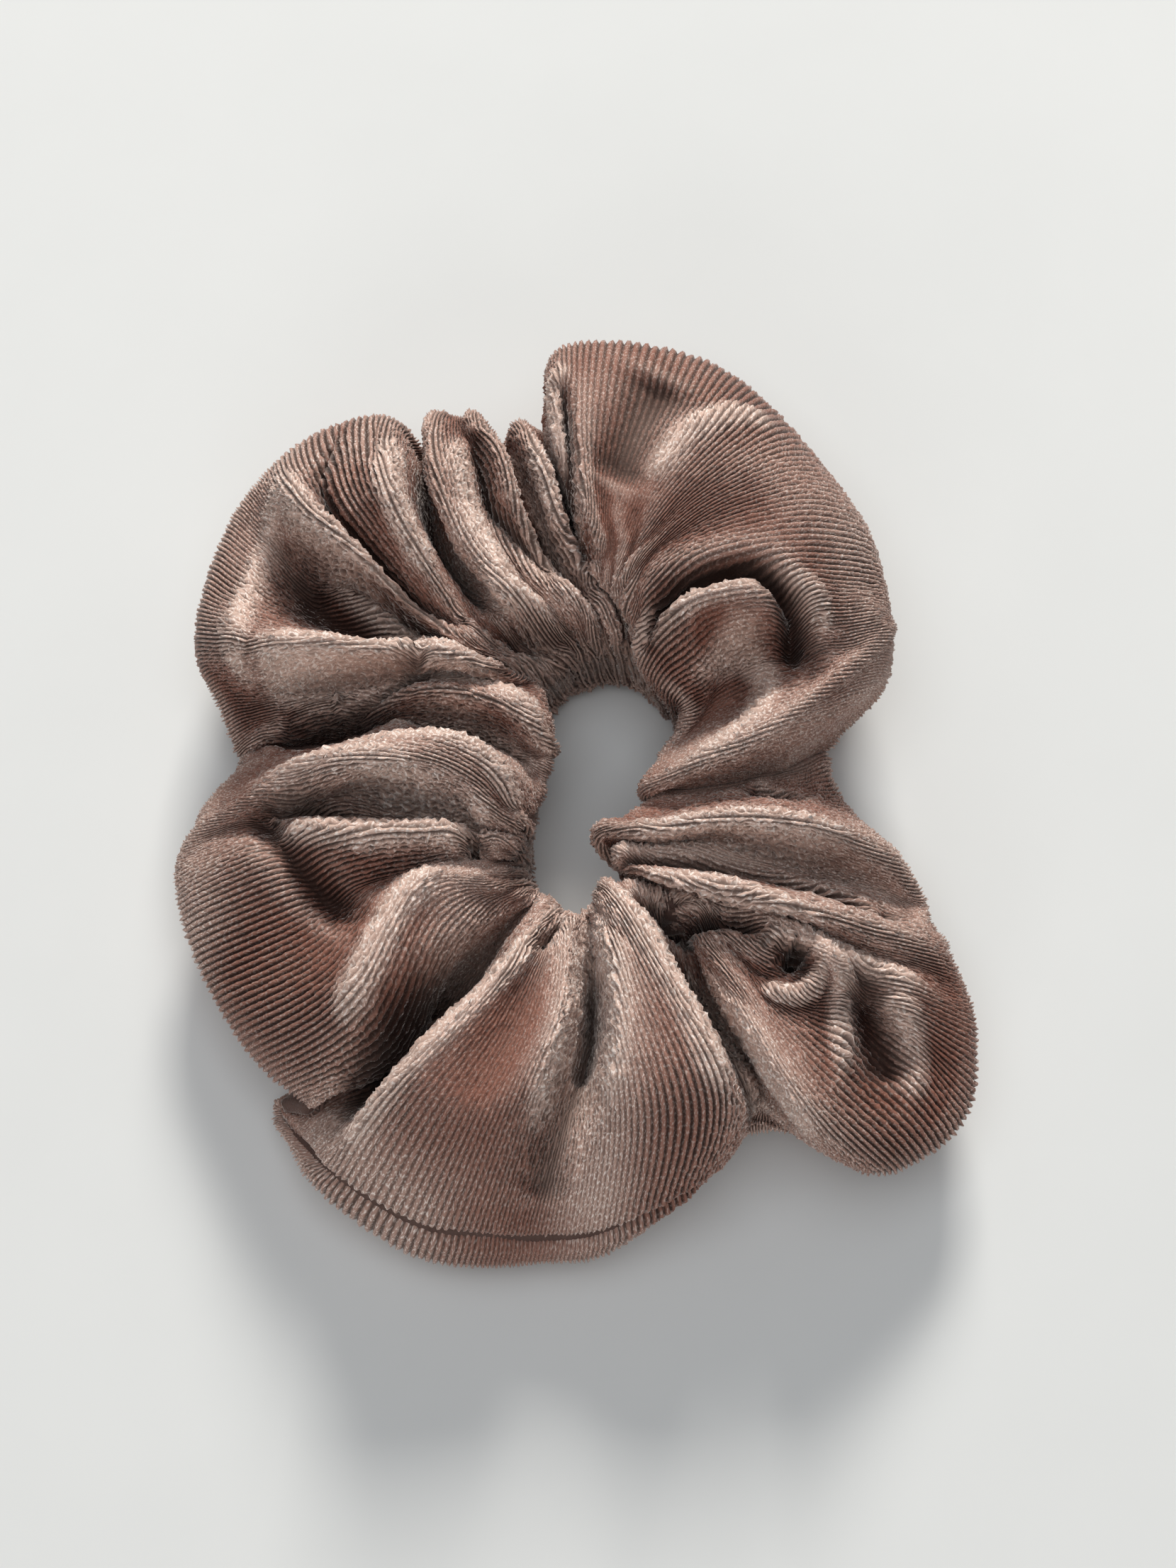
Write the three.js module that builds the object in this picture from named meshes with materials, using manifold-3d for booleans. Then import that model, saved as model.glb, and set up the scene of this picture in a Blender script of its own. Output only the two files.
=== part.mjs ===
// A gathered velvet scrunchie: a long tube of ribbed velvet pushed up into folds on a loop of
// flat elastic. Millimetres, +Z up, resting on its underside at z = 0. The model is drawn about
// the middle of the elastic's loop and moved at the end, so that the origin is under the middle
// of the whole object. The velvet and the elastic are each two halves that draw apart along X,
// which is how a solid model shows the stretch.

import * as THREE from 'three';
import { ParametricGeometry } from 'three/addons/geometries/ParametricGeometry.js';
import { mergeVertices } from 'three/addons/utils/BufferGeometryUtils.js';
import Module from 'manifold-3d';

const wasm = await Module();
wasm.setup();

// ---- Driving dimensions -----------------------------------------------------------------------

// The loop of the elastic, to the middle of its thickness.
const loopWidth = 34;
const loopLength = 46;

// The elastic's strip stands on edge. Its two ends lie one on the other and are sewn together.
const elasticThickness = 1.2;
const elasticWidth = 6;
const elasticHeight = 9;
const lapLength = 12;

// The gathered velvet. Its folds are measured from the elastic: reach outwards, height from the
// surface it rests on. The crests and valleys alternate all the way round, in degrees from +X.
const innerDepth = 7;
const footTrim = 1.4;
const roundness = 0.86;
const folds = [
  { name: 'wristValley', at: 3, reach: 14, height: 24 },
  { name: 'crown', at: 85, reach: 39.5, height: 34 },
  { name: 'crownValley', at: 105, reach: 28, height: 27 },
  { name: 'firstPleat', at: 110, reach: 36, height: 29 },
  { name: 'pleatValley', at: 118, reach: 33.5, height: 25 },
  { name: 'shoulder', at: 131, reach: 45.5, height: 32 },
  { name: 'shoulderEnd', at: 150, reach: 44, height: 30 },
  { name: 'leftValley', at: 174, reach: 33, height: 24 },
  { name: 'leftPuff', at: 193, reach: 42, height: 32 },
  { name: 'puffValley', at: 209, reach: 39, height: 27 },
  { name: 'fan', at: 241, reach: 45.7, height: 31 },
  { name: 'fanValley', at: 284, reach: 29, height: 23 },
  { name: 'cornerPuff', at: 311, reach: 44.5, height: 32 },
];

// Threads lie in creases that the stitches pull into the velvet.
const threadDiameter = 0.5;
const threadClearance = 0.35;
const seamTurn = 10;
const closingAt = 3;
const closingStop = 24;
const tackWraps = 5;
const tackPitch = 1.8;

// Clearances between pieces.
const elasticClearance = 0.6;
const splitGap = 0.4;

// Fineness of the facets.
const ringSteps = 90;
const sectionSteps = 18;
const threadSides = 6;

// ---- Shape of the ring ------------------------------------------------------------------------

const turnFull = 2 * Math.PI;
const radians = THREE.MathUtils.degToRad;

// Distance from the middle to the elastic, in the direction of the angle.
function loopRadius(angle) {
  const a = loopWidth / 2;
  const b = loopLength / 2;
  return (a * b) / Math.hypot(b * Math.cos(angle), a * Math.sin(angle));
}

// Reach and height at an angle, eased from each fold to the next.
function foldAt(angle) {
  const degrees = THREE.MathUtils.euclideanModulo(THREE.MathUtils.radToDeg(angle) - folds[0].at, 360);
  const past = folds.map((fold) => THREE.MathUtils.euclideanModulo(fold.at - folds[0].at, 360));
  const last = past.findLastIndex((start) => start <= degrees);
  const from = folds[last];
  const to = folds[(last + 1) % folds.length];
  const end = last + 1 < folds.length ? past[last + 1] : 360;
  const share = (degrees - past[last]) / (end - past[last]);
  const eased = (1 - Math.cos(Math.PI * share)) / 2;
  return {
    reach: THREE.MathUtils.lerp(from.reach, to.reach, eased),
    height: THREE.MathUtils.lerp(from.height, to.height, eased),
  };
}

const boxy = (value) => Math.sign(value) * Math.abs(value) ** roundness;

// A point on the velvet: angle runs round the ring, turn runs round its section from the rim
// over the top. The foot reaches a little below the surface, and is cut flat later.
function velvetPoint(angle, turn, target = new THREE.Vector3()) {
  const fold = foldAt(angle);
  const inner = loopRadius(angle) - innerDepth;
  const outer = loopRadius(angle) + fold.reach;
  const radius = (inner + outer) / 2 + (boxy(Math.cos(turn)) * (outer - inner)) / 2;
  const middle = (fold.height - footTrim) / 2;
  const z = middle + (boxy(Math.sin(turn)) * (fold.height + footTrim)) / 2;
  return target.set(radius * Math.cos(angle), radius * Math.sin(angle), z);
}

// A point at a height beside the elastic, out from the middle of its thickness.
function elasticPoint(angle, out, z, target = new THREE.Vector3()) {
  const radius = loopRadius(angle) + out;
  return target.set(radius * Math.cos(angle), radius * Math.sin(angle), z);
}

// ---- Solids -----------------------------------------------------------------------------------

// A closed three.js geometry as a manifold solid.
function solid(geometry) {
  geometry.deleteAttribute('normal');
  geometry.deleteAttribute('uv');
  const merged = mergeVertices(geometry, 1e-4);
  const corners = merged.index.array;
  const kept = [];
  for (let i = 0; i < corners.length; i += 3) {
    const [a, b, c] = corners.slice(i, i + 3);
    if (a !== b && b !== c && c !== a) kept.push(a, b, c);
  }
  return new wasm.Manifold(new wasm.Mesh({
    numProp: 3,
    vertProperties: merged.attributes.position.array,
    triVerts: new Uint32Array(kept),
  }));
}

// A manifold solid as a faceted three.js geometry.
function faceted(shape) {
  const mesh = shape.getMesh();
  const geometry = new THREE.BufferGeometry();
  geometry.setAttribute('position', new THREE.BufferAttribute(mesh.vertProperties, mesh.numProp));
  geometry.setIndex(new THREE.BufferAttribute(mesh.triVerts, 1));
  return geometry;
}

// A strip on edge that follows the elastic all the way round, out from its middle and up from
// its mid-height by the half sizes given.
function stripRing(outFrom, outTo, halfHeight) {
  const corners = [[outTo, 1], [outTo, -1], [outFrom, -1], [outFrom, 1]];
  const strip = (share, along, target) => {
    const [out, side] = corners[Math.round(share * 4) % 4];
    elasticPoint((along % 1) * turnFull, out, elasticHeight + side * halfHeight, target);
  };
  return solid(new ParametricGeometry(strip, 4, ringSteps));
}

// A block that keeps a stretch of the ring about the angle given, longer than it by extra.
function stretchBlock(at, length, depth) {
  const block = new THREE.BoxGeometry(depth, length, 2 * elasticWidth + 2 * elasticClearance);
  block.rotateZ(at);
  const middle = elasticPoint(at, 0, elasticHeight);
  return solid(block.translate(middle.x, middle.y, middle.z));
}

function tube(points, radius, closed) {
  const path = new THREE.CatmullRomCurve3(points, closed);
  if (closed) return new THREE.TubeGeometry(path, points.length, radius, threadSides, true);
  const section = new THREE.Shape();
  section.absarc(0, 0, radius, 0, turnFull, false);
  return new THREE.ExtrudeGeometry(section, {
    extrudePath: path,
    steps: points.length,
    curveSegments: threadSides,
    bevelEnabled: false,
  });
}

const around = (count, make) => Array.from({ length: count }, (_, i) => make(i / count));

// ---- The elastic ------------------------------------------------------------------------------

const lapAt = Math.PI;
const halfThickness = elasticThickness / 2;
const lapInner = -halfThickness - elasticThickness;
const elasticLoop = stripRing(-halfThickness, halfThickness, elasticWidth / 2);
const lapLayer = stripRing(lapInner, 0, elasticWidth / 2)
  .intersect(stretchBlock(lapAt, lapLength, 4 * elasticThickness));
const elastic = elasticLoop.add(lapLayer);

// The tack is one thread wound over and under the lap, clear of it on every side.
const threadRadius = threadDiameter / 2;
const threadOff = threadRadius + threadClearance;
const tackCorners = [
  [halfThickness + threadOff, -1],
  [halfThickness + threadOff, 1],
  [lapInner - threadOff, 1],
  [lapInner - threadOff, -1],
];
const tackPoints = [];
for (let i = 0; i <= tackWraps * 4; i += 1) {
  const [out, side] = tackCorners[i % 4];
  const along = (i / 4 - tackWraps / 2) * tackPitch;
  const z = elasticHeight + side * (elasticWidth / 2 + threadOff);
  tackPoints.push(elasticPoint(lapAt + along / loopRadius(lapAt), out, z));
}
const tackCurve = new THREE.CurvePath();
for (let i = 1; i < tackPoints.length; i += 1) {
  tackCurve.add(new THREE.LineCurve3(tackPoints[i - 1], tackPoints[i]));
}
const tackThread = tube(tackCurve.getSpacedPoints(tackWraps * 16), threadRadius, false);

// ---- The velvet -------------------------------------------------------------------------------

const velvetRing = solid(new ParametricGeometry(
  (share, along, target) => velvetPoint((along % 1) * turnFull, -(share % 1) * turnFull, target),
  sectionSteps,
  ringSteps,
));

// The casing that the elastic runs through, wider where the lap and its thread are.
const casing = stripRing(
  -halfThickness - elasticClearance,
  halfThickness + elasticClearance,
  elasticWidth / 2 + elasticClearance,
);
const tackRoom = threadOff + threadRadius + threadClearance;
const lapCasing = stripRing(
  lapInner - tackRoom,
  halfThickness + tackRoom,
  elasticWidth / 2 + tackRoom,
).intersect(stretchBlock(lapAt, lapLength + 2 * elasticClearance, 8 * elasticThickness));

// The lengthwise seam's crease runs round the rim, and the closing seam's crease runs round the
// section where the tube's two ends meet.
const seamLine = around(ringSteps, (share) => velvetPoint(share * turnFull, radians(seamTurn)));
const closingAngle = radians(closingAt);
const closingLine = around(sectionSteps * 2, (share) => velvetPoint(closingAngle, share * turnFull));
const creaseRadius = threadRadius + threadClearance;

const ringBox = new THREE.Box3().setFromPoints(
  around(ringSteps, (share) => velvetPoint(share * turnFull, 0)),
);
const margin = 10;
const tallest = Math.max(...folds.map((fold) => fold.height));
const span = Math.max(ringBox.max.x, -ringBox.min.x) + margin;
const depth = ringBox.max.y - ringBox.min.y + 2 * margin;
const middleY = (ringBox.max.y + ringBox.min.y) / 2;

// Everything above the surface on one side of the split.
function sideBlock(side) {
  const block = new THREE.BoxGeometry(span, depth, tallest + margin);
  block.translate(side * (span + splitGap) / 2, middleY, (tallest + margin) / 2);
  return solid(block);
}

const velvet = velvetRing
  .subtract(casing)
  .subtract(lapCasing)
  .subtract(solid(tube(seamLine, creaseRadius, true)))
  .subtract(solid(tube(closingLine, creaseRadius, true)));

// ---- The seam threads -------------------------------------------------------------------------

const seamThread = solid(tube(seamLine, threadRadius, true));

// The closing thread stops short of the lengthwise seam and of the flat underside.
const closingPoints = around(sectionSteps, (share) => {
  const turn = radians(seamTurn + closingStop) + share * (Math.PI - radians(seamTurn));
  return velvetPoint(closingAngle, turn);
});
const closingThread = tube(closingPoints, threadRadius, false);

// ---- Materials --------------------------------------------------------------------------------

const velvetFinish = new THREE.MeshStandardMaterial({ color: 0x8c6e64, roughness: 0.95, metalness: 0 });
const elasticFinish = new THREE.MeshStandardMaterial({ color: 0xe9e6df, roughness: 0.8, metalness: 0 });
const threadFinish = new THREE.MeshStandardMaterial({ color: 0x7a5e56, roughness: 0.7, metalness: 0 });

// ---- Assembly ---------------------------------------------------------------------------------

const scrunchie = new THREE.Group();

function piece(name, geometry, material) {
  const mesh = new THREE.Mesh(geometry, material);
  mesh.name = name;
  scrunchie.add(mesh);
}

for (const [sideName, side] of [['left', -1], ['right', 1]]) {
  const block = sideBlock(side);
  piece(`sleeve_${sideName}`, faceted(velvet.intersect(block)), velvetFinish);
  piece(`elastic_${sideName}`, faceted(elastic.intersect(block)), elasticFinish);
  piece(`seam_thread_${sideName}`, faceted(seamThread.intersect(block)), threadFinish);
}
piece('elastic_tack_thread', tackThread, threadFinish);
piece('closing_thread', closingThread, threadFinish);

const centre = new THREE.Box3().setFromObject(scrunchie).getCenter(new THREE.Vector3());
scrunchie.position.set(-centre.x, -centre.y, 0);
scrunchie.updateMatrixWorld(true);

export default scrunchie;
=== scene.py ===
"""A gathered scrunchie of ribbed velvet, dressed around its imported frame.

Run it with Blender as a script. It lays the velvet sleeve along its fold lines, evens it out with
a short cloth simulation, and presses creases, raises crests and adds the velvet's ribs on the
result. The elastic and the stitching go inside it, and a plain stage goes round it.
"""

import math

import bpy
import numpy as np
from bpy.props import FloatProperty, FloatVectorProperty, IntProperty, PointerProperty
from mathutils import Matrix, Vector


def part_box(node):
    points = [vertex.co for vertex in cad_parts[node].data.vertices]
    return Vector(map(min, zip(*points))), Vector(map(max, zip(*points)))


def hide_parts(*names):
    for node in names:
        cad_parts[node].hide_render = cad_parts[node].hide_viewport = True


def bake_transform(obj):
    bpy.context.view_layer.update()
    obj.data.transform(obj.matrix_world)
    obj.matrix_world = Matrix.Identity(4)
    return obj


bl_info = {
    "name": "Velvet scrunchie",
    "version": (1, 0, 0),
    "blender": (4, 5, 0),
    "location": "View3D > Sidebar > Scrunchie",
    "description": "Builds a gathered scrunchie of ribbed velvet around its frame",
    "category": "Object",
}

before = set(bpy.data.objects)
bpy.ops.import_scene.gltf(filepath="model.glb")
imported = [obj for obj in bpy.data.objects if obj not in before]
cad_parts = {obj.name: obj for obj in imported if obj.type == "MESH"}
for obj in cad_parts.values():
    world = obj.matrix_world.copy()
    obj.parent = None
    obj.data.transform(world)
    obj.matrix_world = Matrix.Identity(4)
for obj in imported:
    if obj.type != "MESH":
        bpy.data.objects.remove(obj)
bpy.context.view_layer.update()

MM = 0.001

# The frame gives the middle of the elastic's loop, its size and how high the elastic stands.
ELASTIC_LEFT, ELASTIC_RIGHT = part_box("elastic_left"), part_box("elastic_right")
LOOP = np.array(
    [
        (ELASTIC_LEFT[1][0] + ELASTIC_RIGHT[0][0]) / 2,
        (ELASTIC_RIGHT[0][1] + ELASTIC_RIGHT[1][1]) / 2,
        0.0,
    ]
)
ELASTIC_THICKNESS = 1.2
LOOP_HALF_X = (ELASTIC_RIGHT[1][0] - LOOP[0]) / MM - ELASTIC_THICKNESS / 2
LOOP_HALF_Y = (ELASTIC_RIGHT[1][1] - LOOP[1]) / MM - ELASTIC_THICKNESS / 2
ELASTIC_BOTTOM, ELASTIC_TOP = ELASTIC_RIGHT[0][2] / MM, ELASTIC_RIGHT[1][2] / MM

# ---- The folds --------------------------------------------------------------------------------
#
# Each line runs over the top of the sleeve from the hole to the rim: beside the hole, over the
# top, at the shoulder and at the rim. A point is x, y and height, in millimetres from the middle
# of the elastic's loop and from the floor.

FOLDS = [
    ("wrist valley", (5, -1, 18), (15, 0, 18), (22, 3, 12), (29, 8, 8)),
    ("wrist ridge", (3, -1, 20), (12, 1, 27), (23, 4, 30), (35, 13, 16)),
    ("wrist pocket", (10, 10, 18), (18, 16, 12), (30, 16, 27), (37, 20, 18)),
    ("crown front", (3, 15, 22), (10, 20, 31), (23, 22, 33), (36, 26, 18)),
    ("crown middle", (1, 22, 26), (11, 31, 32), (23, 35, 33), (33, 38, 16)),
    ("crown back", (-1, 24, 27), (2, 34, 32), (9, 46, 30), (15, 60, 16)),
    ("crown edge", (-4, 27, 27), (-6, 37, 31), (-7, 50, 29), (-7, 61, 20)),
    ("crown valley", (-2, 25, 18), (-6, 37, 12), (-8, 47, 12), (-9, 53, 9)),
    ("third pleat", (-1, 21, 22), (-8, 32, 25), (-11, 42, 26), (-12, 52, 16)),
    ("third valley", (-4, 24, 18), (-12, 35, 12), (-14, 45, 11), (-14, 51, 8)),
    ("second pleat, right", (-5, 22, 24), (-13, 33, 27), (-16, 44, 27), (-17, 54, 16)),
    ("second pleat, groove", (-8, 23, 20), (-17, 34, 19), (-19, 45, 18), (-19, 54, 14)),
    ("second pleat, left", (-10, 21, 25), (-19, 31, 28), (-23, 44, 28), (-23, 54, 16)),
    ("second valley", (-14, 23, 18), (-23, 33, 12), (-25, 43, 11), (-26, 50, 8)),
    ("first pleat, right", (-16, 19, 22), (-25, 29, 27), (-30, 40, 30), (-31, 53, 16)),
    ("first pleat, middle", (-17, 19, 22), (-28, 28, 24), (-36, 37, 27), (-39, 51, 16)),
    ("first pleat, left", (-18, 18, 22), (-31, 27, 29), (-41, 35, 30), (-45, 46, 16)),
    ("left valley", (-19, 20, 18), (-31, 27, 9), (-42, 30, 16), (-51, 38, 16)),
    ("left ridge", (-15, 15, 22), (-27, 15, 27), (-45, 14, 30), (-55, 21, 14)),
    ("left ridge, fall", (-10, 13, 18), (-23, 15, 16), (-37, 14, 10), (-52, 13, 10)),
    ("inner pleat", (-8, 5, 20), (-18, 10, 26), (-32, 12, 16), (-50, 8, 8)),
    ("notch valley", (-9, 3, 18), (-19, 10, 13), (-36, 12, 6), (-49, 7, 7)),
    ("puff, top", (-11, -6, 21), (-15, 0, 28), (-25, 3, 29), (-50, 3, 14)),
    ("puff, ridge", (-13, -8, 24), (-22, -3, 31), (-36, 0, 32), (-54, -1, 14)),
    ("puff, pocket", (-14, -9, 22), (-25, -2, 12), (-42, -3, 20), (-57, -7, 14)),
    ("puff, lower", (-15, -10, 24), (-24, -9, 28), (-39, -10, 28), (-57, -14, 14)),
    ("puff, dip", (-17, -11, 21), (-27, -12, 22), (-40, -19, 24), (-54, -23, 14)),
    ("puff, front", (-16, -14, 24), (-26, -16, 28), (-34, -31, 29), (-47, -35, 14)),
    ("puff, edge", (-13, -15, 20), (-20, -22, 24), (-29, -36, 22), (-40, -41, 12)),
    ("fan gap", (-10, -16, 18), (-17, -22, 9), (-26, -29, 5), (-45, -40, 6)),
    ("fan, left", (-9, -20, 24), (-18, -32, 30), (-29, -43, 30), (-39, -51, 10)),
    ("fan, face", (-7, -21, 24), (-13, -35, 29), (-20, -47, 28), (-28, -59, 8)),
    ("fan, inner", (-6, -21, 25), (-7, -33, 29), (-13, -46, 28), (-20, -61, 8)),
    ("fan, valley", (-4, -18, 19), (-4, -29, 13), (-7, -47, 20), (-11, -61, 8)),
    ("fan, silver side", (-3, -18, 24), (-1, -32, 29), (1, -47, 27), (-2, -60, 8)),
    ("fan, right", (-1, -15, 25), (7, -30, 30), (14, -44, 28), (9, -53, 10)),
    ("corner gap", (7, -16, 18), (11, -27, 9), (17, -37, 6), (18, -44, 5)),
    ("corner, left", (9, -20, 22), (15, -32, 28), (23, -46, 28), (33, -51, 14)),
    ("corner, pocket", (10, -20, 24), (22, -31, 26), (32, -32, 19), (44, -44, 14)),
    ("corner, hook", (10, -19, 24), (21, -23, 28), (29, -28, 27), (46, -33, 14)),
    ("hook valley", (8, -16, 19), (18, -18, 20), (31, -24, 21), (45, -28, 14)),
    ("lower band", (0, -12, 23), (10, -17, 28), (27, -20, 29), (43, -22, 14)),
    ("dark slot", (1, -9, 19), (12, -8, 17), (27, -11, 12), (41, -16, 10)),
    ("upper band", (-4, -9, 22), (8, -8, 28), (22, -9, 29), (37, -9, 14)),
    ("band end", (1, -5, 19), (11, -4, 22), (23, -3, 22), (31, -2, 12)),
]

# Creases pressed down between the folds: half width, depth, then the points they run through,
# as seen from above.
CREASES = [
    ("crown valley", 0.9, 7, (-3, 28), (-5, 33), (-6, 42), (-7, 52)),
    ("third valley", 1.0, 5, (-3, 24), (-8, 32), (-13, 46)),
    ("second pleat, inside", 1.2, 6, (-8, 26), (-11, 30), (-14, 34), (-17, 39), (-19, 50)),
    ("second valley", 1.2, 7, (-18, 24), (-21, 29), (-25, 36), (-26, 48)),
    ("first pleat, fold", 0.9, 2, (-31, 41), (-32, 49)),
    ("first pleat, groove", 0.9, 3, (-36, 50), (-38, 43), (-39, 39)),
    ("behind the left shoulder", 1.2, 7, (-39, 39), (-37, 34), (-32, 29), (-27, 24), (-21, 20)),
    ("shoulder pocket", 3.2, 6, (-42, 31), (-40, 25), (-36, 22), (-31, 19), (-25, 19)),
    ("under the left ridge", 1.1, 6, (-37, 11), (-30, 13), (-24, 15)),
    ("inner pleats", 0.9, 5, (-27, 10), (-19, 8), (-12, 3)),
    ("notch", 2.6, 16, (-45, 8), (-40, 8), (-35, 9)),
    ("under the pleats", 1.6, 6, (-15, 19), (-9, 19), (-3, 18)),
    ("puff pocket", 1.4, 8, (-45, -4), (-40, -4), (-35, -5), (-29, -6), (-21, -7)),
    ("puff pocket, branch", 2.2, 4, (-46, -4), (-43, -9), (-39, -14), (-33, -20)),
    ("puff pinch", 1.1, 9, (-19, -10), (-17, -10)),
    ("fan gap", 2.8, 12, (-16, -25), (-22, -29), (-26, -33), (-30, -39), (-35, -44)),
    ("fan notch", 0.8, 6, (-7, -20), (-10, -24)),
    ("fan valley", 1.6, 10, (-3, -26), (-3, -33), (-5, -40)),
    ("fan valley, low", 3.2, 3, (-4, -38), (-8, -46), (-10, -54)),
    ("corner gap", 1.3, 7, (7, -24), (12, -33), (15, -40), (18, -45)),
    ("lower slot", 1.2, 9, (3, -18), (9, -20), (14, -20), (18, -22)),
    ("slot between the bands", 1.1, 7, (0, -12), (8, -12), (17, -13), (24, -15), (32, -18)),
    ("band wedge", 1.5, 5, (33, -18), (37, -18), (41, -16)),
    ("hook hole", 1.7, 14, (21, -24), (22, -25), (23, -26)),
    ("hook hollow", 3.4, 4.5, (31, -25), (32, -32), (34, -40)),
    ("wrist pocket", 1.6, 10, (4, 18), (7, 22), (13, 24), (18, 24), (22, 21), (24, 16)),
    ("wrist curl", 1.2, 6, (17, -2), (23, -3)),
    ("crown dent", 4.6, 4.5, (7, 54), (3, 46), (-1, 37)),
    ("crown, rim dent", 1.5, 3, (33, 26), (37, 22)),
]

# Crests raised along the tops of the folds, in the same way.
CRESTS = [
    ("crown, left edge", 1.5, 2, (-7, 56), (-8, 49), (-6, 39), (-4, 30)),
    ("crown, beside the dent", 2.8, 2, (4, 37), (9, 43), (15, 47), (22, 48)),
    ("crown front", 2.2, 3, (1, 15), (4, 19), (8, 21), (13, 23), (20, 23), (25, 21), (27, 15)),
    ("wrist coil", 2.2, 2.5, (10, 14), (16, 18), (20, 14), (17, 6), (9, 0)),
    ("third pleat", 1.5, 2.5, (-4, 25), (-8, 32), (-11, 46)),
    ("second pleat, right", 1.6, 3, (-2, 21), (-5, 25), (-8, 30), (-10, 36), (-12, 42), (-15, 48)),
    ("second pleat, left", 2.0, 3, (-8, 22), (-14, 24), (-16, 29), (-19, 35), (-21, 42), (-21, 48)),
    ("first pleat", 2.0, 2, (-24, 26), (-29, 36), (-30, 46)),
    ("left shoulder", 2.1, 4, (-43, 40), (-41, 34), (-36, 29), (-30, 23), (-23, 17), (-17, 15)),
    ("left shoulder, rim side", 2.5, 2, (-49, 10), (-49, 22), (-47, 32), (-43, 41)),
    ("left ridge", 2.2, 4, (-49, 11), (-43, 14), (-34, 14), (-26, 15), (-20, 14), (-12, 9), (-8, 2)),
    ("inner pleat", 1.5, 2.5, (-31, 9), (-25, 10), (-18, 8), (-10, 2)),
    ("puff, inner top", 1.6, 1.5, (-37, 2), (-28, 3), (-20, 2), (-15, -2), (-12, -8)),
    ("puff ridge", 2.1, 4, (-51, -4), (-45, -1), (-39, 0), (-30, -1), (-21, -5), (-15, -7)),
    ("puff, lower ridge", 1.9, 3, (-43, -8), (-37, -9), (-31, -10), (-24, -9), (-18, -10)),
    ("puff, middle", 2.5, 2.5, (-22, -14), (-27, -19), (-31, -27), (-34, -34)),
    ("fan, left ridge", 2.0, 4, (-9, -22), (-16, -29), (-22, -36), (-28, -42), (-34, -50)),
    ("fan, inner ridge", 2.0, 3, (-3, -19), (-4, -25), (-7, -36), (-11, -47)),
    ("fan, silver ridge", 1.8, 2.5, (-1, -22), (0, -30), (0, -37), (-1, -44)),
    ("fan, right ridge", 2.5, 2.5, (-1, -16), (5, -25), (10, -35), (13, -43)),
    ("upper band", 2.2, 3, (-3, -12), (3, -10), (11, -9), (21, -9), (31, -9)),
    ("lower band", 2.0, 4, (1, -14), (5, -16), (14, -17), (24, -22), (33, -26), (42, -29)),
    ("hook", 1.9, 4, (18, -22), (24, -23), (28, -26), (28, -32), (28, -40)),
    ("hook lip", 1.2, 2.5, (18, -29), (22, -30), (25, -28), (26, -25)),
    ("corner, left ridge", 2.0, 2.5, (9, -24), (15, -34), (19, -42), (25, -49)),
    ("corner, right", 3.1, 2, (34, -27), (38, -35), (38, -43)),
]

# Where the pile lies over, painted paler as the sheen it shows: from, to, half width and strength.
BRUSHED_SHEEN = [
    ("fan, silver side", (-1, -26), (-3, -54), 5.5, 1.0),
    ("fan, left edge", (-38, -46), (-26, -56), 6, 0.8),
    ("fan, top", (-7, -22), (-2, -19), 5, 0.7),
    ("puff, outer edge", (-56, 0), (-55, -18), 6, 0.9),
    ("puff, inner end", (-20, -10), (-19, -24), 5, 0.7),
    ("puff, top", (-28, 1), (-13, 1), 4, 0.6),
    ("left shoulder", (-52, 24), (-44, 44), 6, 0.6),
    ("first pleat", (-33, 44), (-30, 50), 4, 0.4),
    ("second valley", (-18, 32), (-9, 24), 4, 0.9),
    ("crown cheek", (8, 42), (28, 38), 7, 0.35),
    ("crown, rim side", (31, 30), (33, 12), 5, 0.7),
    ("wrist", (10, 2), (24, 6), 5, 0.6),
    ("band end", (34, -8), (43, -14), 6, 0.7),
    ("upper band", (8, -10), (34, -12), 3.5, 0.6),
    ("puff ridge", (-42, -2), (-22, -4), 3, 0.6),
    ("left ridge", (-44, 15), (-26, 15), 3, 0.5),
    ("hook", (24, -18), (36, -22), 4, 0.5),
    ("corner, low side", (15, -36), (24, -48), 5, 0.5),
]

# Shares of the way round the sleeve's section of each station of a fold: the wall of the hole,
# the four points of a fold line, then two on the underside.
STATIONS = np.array([0.0, 0.10, 0.22, 0.345, 0.505, 0.645, 0.905])

# ---- Settings ---------------------------------------------------------------------------------


class SleeveSettings(bpy.types.PropertyGroup):
    """Sizes of the velvet sleeve"""

    cloth_length: FloatProperty(
        name="Cloth length",
        description="Length of the strip of velvet before it is gathered",
        default=0.638,
        unit="LENGTH",
    )
    cloth_girth: FloatProperty(
        name="Cloth girth",
        description="Distance round the sewn tube, without its seam allowances",
        default=0.108,
        unit="LENGTH",
    )
    seam_allowance: FloatProperty(
        name="Seam allowance",
        description="Cloth beyond the stitches at each edge of the strip",
        default=0.006,
        unit="LENGTH",
    )
    cloth_thickness: FloatProperty(
        name="Cloth thickness",
        description="From the backing to the foot of the ribs",
        default=0.0008,
        unit="LENGTH",
    )
    rib_count: IntProperty(
        name="Ribs",
        description="Ribs of pile along the whole strip",
        default=740,
        min=12,
    )
    rib_height: FloatProperty(
        name="Rib height",
        description="How far the pile of a rib stands above the groove beside it",
        default=0.00034,
        unit="LENGTH",
    )
    tuft_height: FloatProperty(
        name="Tuft height",
        description="How far the longest tufts of pile stand above a rib",
        default=0.0005,
        unit="LENGTH",
    )
    seam_depth: FloatProperty(
        name="Seam depth",
        description="How deep the lengthwise seam pulls into the velvet",
        default=0.0018,
        unit="LENGTH",
    )
    settle_steps: IntProperty(
        name="Settling steps",
        description="Steps of the cloth simulation that settles the folds",
        default=12,
        min=0,
    )


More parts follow.
